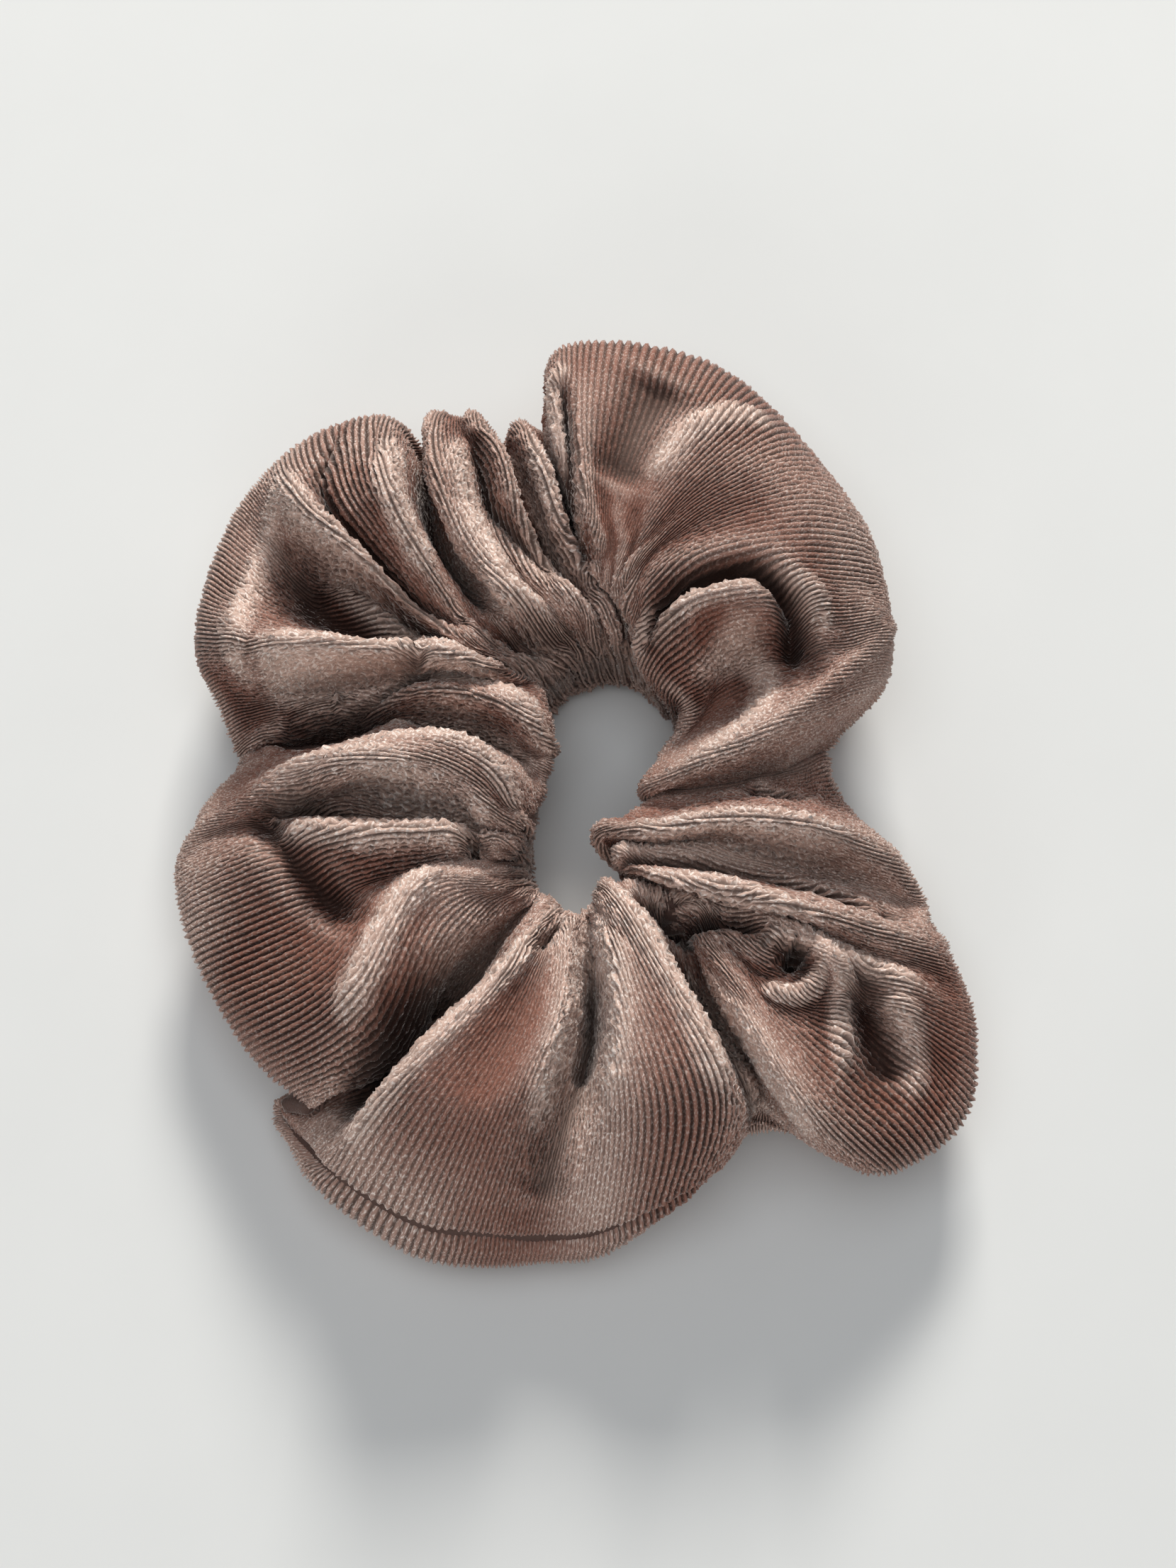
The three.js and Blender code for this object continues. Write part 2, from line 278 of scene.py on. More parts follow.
class ThreadSettings(bpy.types.PropertyGroup):
    """Sizes of the stitching"""

    thread_diameter: FloatProperty(
        name="Thread diameter",
        description="Diameter of the sewing thread",
        default=0.0005,
        unit="LENGTH",
    )
    stitch_length: FloatProperty(
        name="Stitch length",
        description="From one needle hole to the next",
        default=0.0024,
        unit="LENGTH",
    )


class ColourSettings(bpy.types.PropertyGroup):
    """Colours of the velvet and the elastic"""

    pile: FloatVectorProperty(
        name="Pile",
        description="The velvet's colour where its pile stands up",
        default=(0.285, 0.119, 0.084),
        subtype="COLOR",
        size=3,
    )
    # Partly the pile's own darker foot and partly painted shade in the grooves between the ribs.
    groove_shade: FloatVectorProperty(
        name="Groove",
        description="Colour at the foot of the pile, between two ribs",
        default=(0.034, 0.013, 0.009),
        subtype="COLOR",
        size=3,
    )
    brushed_sheen: FloatVectorProperty(
        name="Brushed pile",
        description="Colour where the pile lies flat and catches the light",
        default=(0.80, 0.59, 0.50),
        subtype="COLOR",
        size=3,
    )
    tip_glints: FloatVectorProperty(
        name="Tips",
        description="Colour of the tips of the pile that catch the light",
        default=(1.0, 0.86, 0.79),
        subtype="COLOR",
        size=3,
    )
    elastic: FloatVectorProperty(
        name="Elastic",
        description="Colour of the braided elastic",
        default=(0.80, 0.78, 0.73),
        subtype="COLOR",
        size=3,
    )
    thread: FloatVectorProperty(
        name="Thread",
        description="Colour of the sewing thread",
        default=(0.19, 0.11, 0.09),
        subtype="COLOR",
        size=3,
    )


# ---- Curves and surfaces in numbers -----------------------------------------------------------


def closed_spline(points, knots, at):
    """Reads a smooth closed curve, or a row of them, through points at knots from 0 to 1."""
    knots = np.concatenate([[knots[-1] - 1], knots, [knots[0] + 1, knots[1] + 1]])
    points = np.concatenate([points[-1:], points, points[:2]])
    shape = (-1,) + (1,) * (points.ndim - 1)
    slopes = (points[2:] - points[:-2]) / (knots[2:] - knots[:-2]).reshape(shape)
    span = np.clip(np.searchsorted(knots[1:-1], at, side="right") - 1, 0, len(slopes) - 2)
    width = (knots[span + 2] - knots[span + 1]).reshape(shape)
    t = (at - knots[span + 1]).reshape(shape) / width
    return (
        (2 * t**3 - 3 * t**2 + 1) * points[span + 1]
        + (t**3 - 2 * t**2 + t) * slopes[span] * width
        + (3 * t**2 - 2 * t**3) * points[span + 2]
        + (t**3 - t**2) * slopes[span + 1] * width
    )


def smooth_rows(grid, at):
    """Reads a closed grid between its rows by a cubic B-spline, which rounds the folds."""
    count = len(grid)
    place = np.asarray(at) * count
    first = np.floor(place).astype(int)
    t = (place - first).reshape((-1,) + (1,) * (grid.ndim - 1))
    weights = ((1 - t) ** 3, 3 * t**3 - 6 * t**2 + 4, -3 * t**3 + 3 * t**2 + 3 * t + 1, t**3)
    return sum(w * grid[(first + k - 1) % count] for k, w in enumerate(weights)) / 6


def smooth_grid(grid, along, around):
    """Reads a closed grid at finer places, both along the tube and round its section."""
    rows = smooth_rows(grid, along)
    return np.swapaxes(smooth_rows(np.swapaxes(rows, 0, 1), around), 0, 1)


def outward(grid):
    """Unit normals of a grid that closes both ways, pointing out of the tube."""
    along = np.roll(grid, -1, 0) - np.roll(grid, 1, 0)
    around = np.roll(grid, -1, 1) - np.roll(grid, 1, 1)
    normal = np.cross(around, along)
    return normal / np.maximum(np.linalg.norm(normal, axis=2, keepdims=True), 1e-12)


def grid_faces(rows, columns, first=0, flip=False):
    """Faces of a grid that closes both ways, whose points are numbered from first."""
    i, j = np.meshgrid(np.arange(rows), np.arange(columns), indexing="ij")
    i, j = i.ravel(), j.ravel()
    after, beside = (i + 1) % rows, (j + 1) % columns
    corners = [i * columns + j, i * columns + beside, after * columns + beside, after * columns + j]
    return first + np.stack(corners[::-1] if flip else corners, 1)


def new_piece(name, points, faces, material):
    """A smooth object from points in metres and an array of four-cornered faces."""
    points, faces = np.asarray(points, np.float32).reshape(-1, 3), np.asarray(faces, np.int32)
    mesh = bpy.data.meshes.new(name)
    mesh.vertices.add(len(points))
    mesh.vertices.foreach_set("co", points.ravel())
    mesh.loops.add(faces.size)
    mesh.loops.foreach_set("vertex_index", faces.ravel())
    mesh.polygons.add(len(faces))
    mesh.polygons.foreach_set("loop_start", np.arange(0, faces.size, 4, dtype=np.int32))
    mesh.update(calc_edges=True)
    mesh.polygons.foreach_set("use_smooth", np.ones(len(faces), bool))
    mesh.materials.append(material)
    mesh.validate()
    piece = bpy.data.objects.new(name, mesh)
    bpy.context.scene.collection.objects.link(piece)
    return piece


def point_values(piece, name, values):
    """Stores one number for each point of a piece, for its material."""
    attribute = piece.data.attributes.new(name, "FLOAT", "POINT")
    attribute.data.foreach_set("value", np.asarray(values, np.float32).ravel())


def across_the_stretch(piece, slot, *nodes):
    """Puts a piece's transform into its mesh and hides the frame's parts that it takes the place of.
    """
    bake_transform(piece)
    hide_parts(*nodes)


def in_place(points):
    """Millimetres from the middle of the elastic's loop to metres in the frame."""
    return np.asarray(points) * MM + LOOP


# ---- The elastic's loop -----------------------------------------------------------------------


def loop_radius(angle):
    """Millimetres from the loop's middle to the elastic at an angle."""
    reach = np.hypot(LOOP_HALF_Y * np.cos(angle), LOOP_HALF_X * np.sin(angle))
    return LOOP_HALF_X * LOOP_HALF_Y / reach


CLEAR_ABOVE, CLEAR_BELOW, CLEAR_INSIDE = 2.4, 2.5, 2.6
CLEAR_REACH, CLEAR_FALL = 7.0, 3.5


def clear_elastic(grid, around):
    """Lifts the sleeve's top off the elastic, lowers its underside and moves in its wall."""
    angle = np.arctan2(grid[..., 1], grid[..., 0])
    off = np.hypot(grid[..., 0], grid[..., 1]) - loop_radius(angle)
    near = np.clip((CLEAR_REACH - np.abs(off + 0.5)) / CLEAR_FALL, 0, 1)
    near = near * near * (3 - 2 * near)
    top = (around > 0.03) & (around < 0.5)
    height = grid[..., 2]
    lifted = height + near * np.maximum(ELASTIC_TOP + CLEAR_ABOVE - height, 0)
    lowered = height - near * np.maximum(height - (ELASTIC_BOTTOM - CLEAR_BELOW), 0)
    grid = grid.copy()
    grid[..., 2] = np.where(top, lifted, np.where(around > 0.55, lowered, height))
    wall = (around < 0.04) | (around > 0.93)
    reach = np.maximum(np.hypot(grid[..., 0], grid[..., 1]), 1e-6)
    inside = np.minimum(reach, loop_radius(angle) - CLEAR_INSIDE) / reach
    grid[..., :2] *= np.where(wall & (height > 5), inside, 1)[..., None]
    return grid


# ---- The velvet sleeve ------------------------------------------------------------------------

SLEEVE_ROWS, SLEEVE_COLUMNS = 192, 40

# The stations that no fold line gives: the wall of the hole, the sleeve's foot round the hole, and
# the underside, some way in from the rim.
HOLE_WALL_X, HOLE_WALL_Y, HOLE_WALL_Z = 11.5, 19.5, 11.0
FOOT_X, FOOT_Y, FOOT_Z = 14.0, 20.5, 1.2
UNDER_IN, UNDER_Z = 10.0, 1.0

# How much each station counts when the fold lines are spaced along the tube, and the least space.
SPACING = np.array([0, 0.3, 1, 1.2, 0.8, 0.2, 0])
LEAST_SPACE = 4.5

# The sleeve stays above the lowest height, and its top is rounded off below the tallest.
LOWEST, TALLEST, ROUNDING = 0.8, 34.5, 4.5


def fold_stations():
    """The folds as seven points round the section for each line, from the hole's wall."""
    lines = np.array([fold[1:] for fold in FOLDS], float)
    middle = (lines[:, 0] + lines[:, 1]) / 2
    turn = np.unwrap(np.arctan2(middle[:, 1], middle[:, 0]))
    turn = np.maximum.accumulate(turn)
    even = turn[0] + np.arange(len(lines)) / len(lines) * 2 * math.pi
    turn = (turn + even) / 2
    ring = np.stack([np.cos(turn), np.sin(turn)], 1)
    wall = 0.65 * ring * (HOLE_WALL_X, HOLE_WALL_Y) + 0.35 * lines[:, 0, :2]
    foot = ring * (FOOT_X, FOOT_Y)
    rim = lines[:, 3, :2]
    under = rim * (1 - UNDER_IN / np.linalg.norm(rim, axis=1, keepdims=True))
    level = np.ones((len(lines), 1))
    return np.stack(
        [
            np.hstack([wall, level * HOLE_WALL_Z]),
            *np.swapaxes(lines, 0, 1),
            np.hstack([under, level * UNDER_Z]),
            np.hstack([foot, level * FOOT_Z]),
        ],
        1,
    )


def lay_sleeve():
    """The sleeve laid through its fold lines, as a grid of points."""
    stations = fold_stations()
    steps = np.linalg.norm(np.roll(stations, -1, 0) - stations, axis=2)
    step = np.maximum(steps @ SPACING / SPACING.sum(), LEAST_SPACE)
    knots = np.concatenate([[0], np.cumsum(step)[:-1]]) / step.sum()
    lengthwise = closed_spline(stations, knots, np.arange(SLEEVE_ROWS) / SLEEVE_ROWS)
    section = np.arange(SLEEVE_COLUMNS) / SLEEVE_COLUMNS
    grid = closed_spline(np.swapaxes(lengthwise, 0, 1), STATIONS, section)
    grid = np.swapaxes(grid, 0, 1)
    grid[..., 2] = np.maximum(grid[..., 2], LOWEST)
    return clear_elastic(grid, section[None, :])


HOOP_HALF_WIDTH, HOOP_HALF_HEIGHT = 6, 20


def smooth_hoop(length, girth):
    """The sleeve before it is gathered: an even hoop, as long and as wide as the sewn tube."""
    turn = np.arange(SLEEVE_ROWS) / SLEEVE_ROWS * 2 * math.pi
    fine = np.linspace(0, 2 * math.pi, 2001)
    x, z = -HOOP_HALF_WIDTH * np.cos(fine), HOOP_HALF_HEIGHT * np.sin(fine)
    run = np.concatenate([[0], np.cumsum(np.hypot(np.diff(x), np.diff(z)))])
    at = np.interp(np.arange(SLEEVE_COLUMNS) / SLEEVE_COLUMNS * run[-1], run, fine)
    scale = girth / run[-1]
    radius = length / (2 * math.pi) - HOOP_HALF_WIDTH * scale * np.cos(at)[None, :]
    height = np.repeat(HOOP_HALF_HEIGHT * scale * np.sin(at)[None, :], SLEEVE_ROWS, 0)
    return np.stack([radius * np.cos(turn)[:, None], radius * np.sin(turn)[:, None], height], -1)


CLOTH_SCALE = 0.02
HELD, PULLED_BACK = 1.0, 0.3


def settle(grid, hoop, steps):
    """Evens out the laid grid as cloth that has the hoop's size, without gravity.

    It is held at the wall of the hole, and elsewhere pulled back to where it was laid. The cloth is
    simulated twenty times its size, where the simulation's own limits are fine.
    """
    scale = CLOTH_SCALE
    scene = bpy.context.scene
    rows, columns = grid.shape[:2]
    material = bpy.data.materials.new("settling")
    cloth = new_piece("settling_sleeve", grid * scale, grid_faces(rows, columns), material)
    cloth.shape_key_add(name="laid")
    flat = cloth.shape_key_add(name="hoop")
    flat.value = 0
    flat.data.foreach_set("co", (hoop * scale).astype(np.float32).ravel())

    hold = cloth.vertex_groups.new(name="hold")
    section = np.arange(columns) / columns
    for column, at in enumerate(section):
        weight = HELD if min(at, 1 - at) < 0.03 else PULLED_BACK
        hold.add([row * columns + column for row in range(rows)], weight, "REPLACE")

    bpy.ops.mesh.primitive_plane_add(size=10)
    table = bpy.context.object
    table.modifiers.new("Collision", "COLLISION")
    table.collision.thickness_outer = 0.005

    modifier = cloth.modifiers.new("Cloth", "CLOTH")
    velvet = modifier.settings
    velvet.quality = 4
    velvet.mass = 0.3
    velvet.tension_stiffness = velvet.compression_stiffness = 15
    velvet.shear_stiffness = 5
    velvet.bending_stiffness = 0.5
    velvet.tension_damping = velvet.compression_damping = velvet.shear_damping = 5
    velvet.bending_damping = 0.5
    velvet.air_damping = 2
    velvet.vertex_group_mass = hold.name
    velvet.pin_stiffness = 1
    velvet.effector_weights.gravity = 0
    velvet.rest_shape_key = flat
    touch = modifier.collision_settings
    touch.distance_min = 0.01
    touch.use_self_collision = True
    touch.self_distance_min = 0.016
    touch.self_friction = 5
    touch.collision_quality = 2
    modifier.point_cache.frame_start = 1
    modifier.point_cache.frame_end = steps
    for step in range(1, steps + 1):
        scene.frame_set(step)
    settled = cloth.evaluated_get(bpy.context.evaluated_depsgraph_get()).to_mesh()
    points = np.empty(len(settled.vertices) * 3, np.float32)
    settled.vertices.foreach_get("co", points)
    scene.frame_set(1)
    for used in (cloth, table):
        mesh = used.data
        bpy.data.objects.remove(used)
        bpy.data.meshes.remove(mesh)
    bpy.data.materials.remove(material)
    return points.reshape(rows, columns, 3).astype(float) / scale


# Where the seam lies, as shares of the way round the section, and the stretch of the sleeve, as
# shares of its length, where it turns up onto the fan.
SEAM_AT, SEAM_BELOW = 0.462, 0.53
FAN_FROM, FAN_TO, FAN_TURN = 0.63, 0.85, 0.06

# One rib across, as shares of its width and height, and the steps of the skin round the section.
RIB_SHAPE = ((0.0, 0.0), (0.33, 1.0), (0.67, 1.0))
SECTION_STEPS = 216
SEAM_STEPS = (-2.4, -1.7, -1.1, -0.65, -0.3, 0.0, 0.3, 0.65, 1.1, 1.7, 2.4)
LINING_ROWS, LINING_COLUMNS = 640, 120

HOLE_PLEATS, HOLE_PLEAT_HEIGHT, HOLE_PLEAT_REACH = 84, 0.4, 0.11
CLOSING_DEPTH, CLOSING_WIDTH = 0.8, 0.9


def seam_at(along):
    """Where the seam runs round the section: below the rim, and up onto the top at the fan."""
    rise = np.clip((along - FAN_FROM) / FAN_TURN, 0, 1) * np.clip((FAN_TO - along) / FAN_TURN, 0, 1)
    return SEAM_BELOW + (SEAM_AT - SEAM_BELOW) * rise * rise * (3 - 2 * rise)


def section_places(girth):
    """Places round the section for the ribbed skin, closer together where the seam shows."""
    even = np.arange(SECTION_STEPS) / SECTION_STEPS
    seam = SEAM_AT + np.array(SEAM_STEPS) / girth
    spare = 0.5 / SECTION_STEPS
    kept = even[(even < seam[0] - spare) | (even > seam[-1] + spare)]
    return np.sort(np.concatenate([kept, seam]))


def soft_noise(rng, rows, columns, row_cells, column_cells):
    """Smooth noise on a closed grid of any fineness, from -1 to 1 or so."""
    coarse = rng.standard_normal((row_cells, column_cells))
    along = np.arange(rows) / rows
    around = np.arange(columns) / columns
    return smooth_grid(coarse, along, around) * 1.6


def beside_line(x, y, start, end):
    """The share of the way along a line of the nearest place on it, and how far off that is."""
    (x0, y0), (x1, y1) = start, end
    dx, dy = x1 - x0, y1 - y0
    share = np.clip(((x - x0) * dx + (y - y0) * dy) / max(dx * dx + dy * dy, 1e-9), 0, 1)
    return share, np.hypot(x - x0 - share * dx, y - y0 - share * dy)


def near_line(x, y, start, end, width):
    """From 1 along a line between two points to 0 well away from it, seen from above."""
    return np.exp(-((beside_line(x, y, start, end)[1] / width) ** 2))


def open_curve(points, steps=5):
    """A smooth open run through points, as a longer list of points."""
    points = np.array([points[0], *points, points[-1]], float)
    t = np.linspace(0, 1, steps, endpoint=False)[:, None]
    run = []
    for a, b, c, d in zip(points, points[1:], points[2:], points[3:]):
        curve = 2 * b + (c - a) * t + (2 * a - 5 * b + 4 * c - d) * t**2
        run.append((curve + (3 * b - a - 3 * c + d) * t**3) / 2)
    return np.concatenate([*run, points[-1:]])


def drawn_along(skin, run, width, sharp):
    """From about 1 on a run to 0 beside it, for each point of the sleeve; less near its ends."""
    x, y = skin[..., 0], skin[..., 1]
    line = open_curve(run)
    low, high = line.min(0) - 4 * width, line.max(0) + 4 * width
    inside = (x > low[0]) & (x < high[0]) & (y > low[1]) & (y < high[1])
    x, y = x[inside], y[inside]
    best, at = np.full(x.shape, 1e9), np.zeros(x.shape)
    for index, (start, end) in enumerate(zip(line, line[1:])):
        share, off = beside_line(x, y, start, end)
        nearer = off < best
        best[nearer], at[nearer] = off[nearer], (index + share)[nearer]
    at /= len(line) - 1
    taper = np.clip(np.minimum(at, 1 - at) / 0.18, 0, 1) * 0.65 + 0.35
    fall = np.exp(-(((best / width) ** 2 + 0.04) ** (0.65 if sharp else 1)))
    made = np.zeros(skin.shape[:2])
    made[inside] = fall * taper
    return made


def press_in(skin, around):
    """Presses the creases and raises the crests on the top of the sleeve.

    Returns the sleeve, how near each point is to a crest's line, and how far it was pressed down.
    """
    top = np.clip((around - 0.03) / 0.05, 0, 1) * np.clip((0.46 - around) / 0.06, 0, 1)
    raised, pressed, crest = 0, 0, 0
    for _, width, height, *run in CRESTS:
        drawn = drawn_along(skin, run, width, True)
        raised, crest = np.maximum(raised, height * drawn), np.maximum(crest, drawn)
    for _, width, depth, *run in CREASES:
        pressed = np.maximum(pressed, depth * drawn_along(skin, run, width, False))
    skin = skin.copy()
    raised, pressed, crest = raised * top[None, :], pressed * top[None, :], crest * top[None, :]
    level = np.maximum(skin[..., 2] + raised - pressed, LOWEST)
    over = level - (TALLEST - ROUNDING)
    rounded_off = TALLEST - ROUNDING + ROUNDING * np.tanh(over / ROUNDING)
    skin[..., 2] = np.where(over > 0, rounded_off, level)
    return skin, crest, pressed


def gather_at_hole(skin, along, around, length):
    """Small pleats where the sleeve is pushed up most, strongest at the wall of the hole."""
    run = np.linalg.norm(np.roll(skin, -1, 0) - skin, axis=2)
    flat = (np.roll(along, -1) - along) % 1 * length
    packed = np.clip(1.15 - run / flat[:, None], 0, 1)
    cells = 96
    cell = np.minimum((along * cells).astype(int), cells - 1)
    mean = np.stack([packed[cell == c].mean(0) for c in range(cells)])
    packed = smooth_rows(mean, along - 0.5 / cells)
    near = np.minimum(around, 1 - around)[None, :]
    turns = along[:, None] * 2 * math.pi
    wander = 1.1 * np.sin(7 * turns) + 0.8 * np.sin(17 * turns + 2) + 0.6 * np.sin(31 * turns)
    fall = np.exp(-((near / HOLE_PLEAT_REACH) ** 2))
    return HOLE_PLEAT_HEIGHT * packed * fall * np.sin(HOLE_PLEATS * turns + wander)


def dressed(grid, along, around, length):
    """The sleeve's smooth surface with its creases, crests and gathers, then what press_in says."""
    skin, drawn, pressed = press_in(smooth_grid(grid, along, around), around)
    gathers = gather_at_hole(skin, along, around, length)
    return skin + outward(skin) * gathers[..., None], drawn, pressed


def ridge_and_hollow(skin, step_rows, step_columns):
    """How sharply the sleeve bends, from -1 in a hollow to 1 on a ridge, over a few millimetres."""
    normal = outward(skin)
    bend = np.zeros(skin.shape[:2])
    for axis, step in ((0, step_rows), (1, step_columns)):
        before, after = np.roll(skin, step, axis), np.roll(skin, -step, axis)
        span = np.linalg.norm(after - before, axis=2) / 2
        away = 2 * skin - before - after
        bend += (away * normal).sum(2) / np.maximum(span, 0.8) ** 2
    return np.tanh(bend * 1.6)


def pull_in_seams(rise, rng, along, around, sleeve):
    """The relief of the velvet with the lengthwise seam and the closing seam drawn into it."""
    length, girth = sleeve.cloth_length / MM, sleeve.cloth_girth / MM
    seam = (around[None, :] - seam_at(along)[:, None]) * girth
    pucker = soft_noise(rng, len(along), 4, sleeve.rib_count // 6, 4)[:, :1]
    pull = sleeve.seam_depth / MM * (1 + 0.25 * pucker)
    rise = rise - pull * np.exp(-(np.abs(seam / 0.75) ** 1.6))
    rise = rise + 0.28 * np.exp(-(((np.abs(seam) - 1.7) / 0.8) ** 2))
    closing = np.minimum(along, 1 - along)[:, None] * length
    return rise - CLOSING_DEPTH * np.exp(-((closing / CLOSING_WIDTH) ** 2))


def rib_the_skin(grid, sleeve):
    """The velvet's outside, with what its material needs to know at each point."""
    length, girth = sleeve.cloth_length / MM, sleeve.cloth_girth / MM
    rng = np.random.default_rng(7)
    offsets, heights = np.array(RIB_SHAPE).T
    ribs = sleeve.rib_count
    along = ((np.arange(ribs)[:, None] + offsets[None, :]) / ribs).ravel()
    crest = np.tile(heights, ribs)[:, None]
    around = section_places(girth)
    skin, drawn, pressed = dressed(grid, along, around, length)
    normal = outward(skin)
    bend = ridge_and_hollow(skin, 12, 4)
    # How near each point is to a crest's line or a ridge: it raises taller tufts there and marks
    # where the material paints a highlight along the crests.
    edge = np.clip((drawn - 0.30) / 0.50, 0, 1) * (1 - np.clip(pressed / 6, 0, 1))
    edge = np.clip(edge + 0.5 * np.maximum(bend, 0), 0, 1)
    # The next two lines give the mask of painted shade: strongest in the pressed creases, on the
    # wall of the hole and in the sleeve's hollows.
    wall = np.clip(1 - np.minimum(around, 1 - around)[None, :] / 0.09, 0, 1)
    hollow_shade = np.clip(pressed / 6 + 0.8 * wall + 0.5 * np.maximum(-bend, 0), 0, 1)

    rows, columns = len(along), len(around)
    spread = soft_noise(rng, rows, columns, 60, 12)
    tufts = rng.uniform(0, 1, (rows, columns)) ** 2
    open_ribs = np.clip(1.0 + 0.5 * spread + 0.4 * np.maximum(bend, 0), 0.35, 1.3)
    rise = sleeve.rib_height / MM * crest * open_ribs
    rise += sleeve.tuft_height / MM * tufts * (0.25 + 0.75 * crest) * (0.7 + 0.9 * edge)

    rise = pull_in_seams(rise, rng, along, around, sleeve)

    tangent = np.roll(skin, -1, 1) - np.roll(skin, 1, 1)
    tangent /= np.maximum(np.linalg.norm(tangent, axis=2, keepdims=True), 1e-9)
    lean = rng.uniform(-1, 1, (rows, columns)) * 0.16 * crest
    # Painted sheen: where the pile lies over, the listed patches are made paler.
    brushed_sheen = sum(
        strength * near_line(skin[..., 0], skin[..., 1], start, end, width)
        for _, start, end, width, strength in BRUSHED_SHEEN
    )
    skin = skin + normal * rise[..., None] + tangent * lean[..., None]
    strip = np.zeros((rows, columns, 3))
    strip[..., 0] = along[:, None] * length
    strip[..., 1] = around[None, :] * girth
    values = {
        "crest": crest * np.ones((1, columns)),
        "tuft": tufts,
        "open_ribs": open_ribs,
        "edge": edge,
        "hollow_shade": hollow_shade,
        "brushed_sheen": np.clip(brushed_sheen, 0, 1),
        "pile": np.ones((rows, columns)),
    }
    return skin, values, strip, along, around


def lay_out(piece, blocks):
    """Lays the skins out on the bake map: the outside in two rows, the lining in one."""
    uv = np.empty((len(piece.data.loops), 2), np.float32)
    start = 0
    for along, around, rows, columns, outside in blocks:
        i, j = np.meshgrid(np.arange(rows), np.arange(columns), indexing="ij")
        ends = np.append(along, 1.0)
        sides = np.append(around, 1.0 + around[0])
        u = np.stack([ends[i], ends[i], ends[i + 1], ends[i + 1]], -1)
        v = np.stack([sides[j], sides[j + 1], sides[j + 1], sides[j]], -1) - around[0]
        if outside:
            lower = (u.mean(-1, keepdims=True) < 0.5) * 1.0
            place_u = 0.01 + 0.98 * (2 * u - 1 + lower)
            place_v = 0.01 + 0.38 * v + 0.395 * lower
        else:
            u, v = u[..., ::-1], v[..., ::-1]
            place_u = 0.01 + 0.98 * u
            place_v = 0.805 + 0.185 * v
        block = np.stack([place_u, place_v], -1).reshape(-1, 2)
        uv[start : start + len(block)] = block
        start += len(block)
    layer = piece.data.uv_layers.new(name="OFBake")
    layer.data.foreach_set("uv", uv.ravel())


class SCRUNCHIE_OT_sleeve(bpy.types.Operator):
    """Lay, settle and rib the velvet sleeve"""

    bl_idname = "scrunchie.add_sleeve"
    bl_label = "Velvet Sleeve"

    def execute(self, context):
        sleeve = context.scene.scrunchie_sleeve
        length, girth = sleeve.cloth_length / MM, sleeve.cloth_girth / MM
        grid = lay_sleeve()
        if sleeve.settle_steps:
            settled = settle(grid, smooth_hoop(length, girth), sleeve.settle_steps)
            grid = 0.5 * settled + 0.5 * grid
            grid[..., 2] = np.maximum(grid[..., 2], LOWEST)
            grid = clear_elastic(grid, (np.arange(SLEEVE_COLUMNS) / SLEEVE_COLUMNS)[None, :])

        skin, values, strip, along, around = rib_the_skin(grid, sleeve)
        lining_along = np.arange(LINING_ROWS) / LINING_ROWS
        lining_around = np.arange(LINING_COLUMNS) / LINING_COLUMNS
        lining = dressed(grid, lining_along, lining_around, length)[0]
        lining = lining - outward(lining) * (sleeve.cloth_thickness / MM)

        rows, columns = skin.shape[:2]
        count = rows * columns
        points = np.concatenate([skin.reshape(-1, 3), lining.reshape(-1, 3)])
        faces = np.concatenate(
            [
                grid_faces(rows, columns),
                grid_faces(LINING_ROWS, LINING_COLUMNS, first=count, flip=True),
            ]
        )
        piece = new_piece("velvet_sleeve", in_place(points), faces, velvet_material(context))
        lay_out(
            piece,
            [
                (along, around, rows, columns, True),
                (lining_along, lining_around, LINING_ROWS, LINING_COLUMNS, False),
            ],
        )
        backing = np.zeros(LINING_ROWS * LINING_COLUMNS)
        for name, value in values.items():
            point_values(piece, name, np.concatenate([value.ravel(), backing]))
        strip = np.concatenate([strip.reshape(-1, 3), lining.reshape(-1, 3)])
        attribute = piece.data.attributes.new("strip", "FLOAT_VECTOR", "POINT")
        attribute.data.foreach_set("vector", strip.astype(np.float32).ravel())
        across_the_stretch(piece, "ribbed_velvet", "sleeve_left", "sleeve_right")
        context.scene["sleeve_grid"] = grid.ravel().tolist()
        return {"FINISHED"}


# ---- The elastic ------------------------------------------------------------------------------

BRAID_CORDS, CORD_STEPS = 9, 6
BAND_STEPS = 900
LAP_HALF, LAP_EASE = 6.0, 0.35
TACK_WRAPS = 5


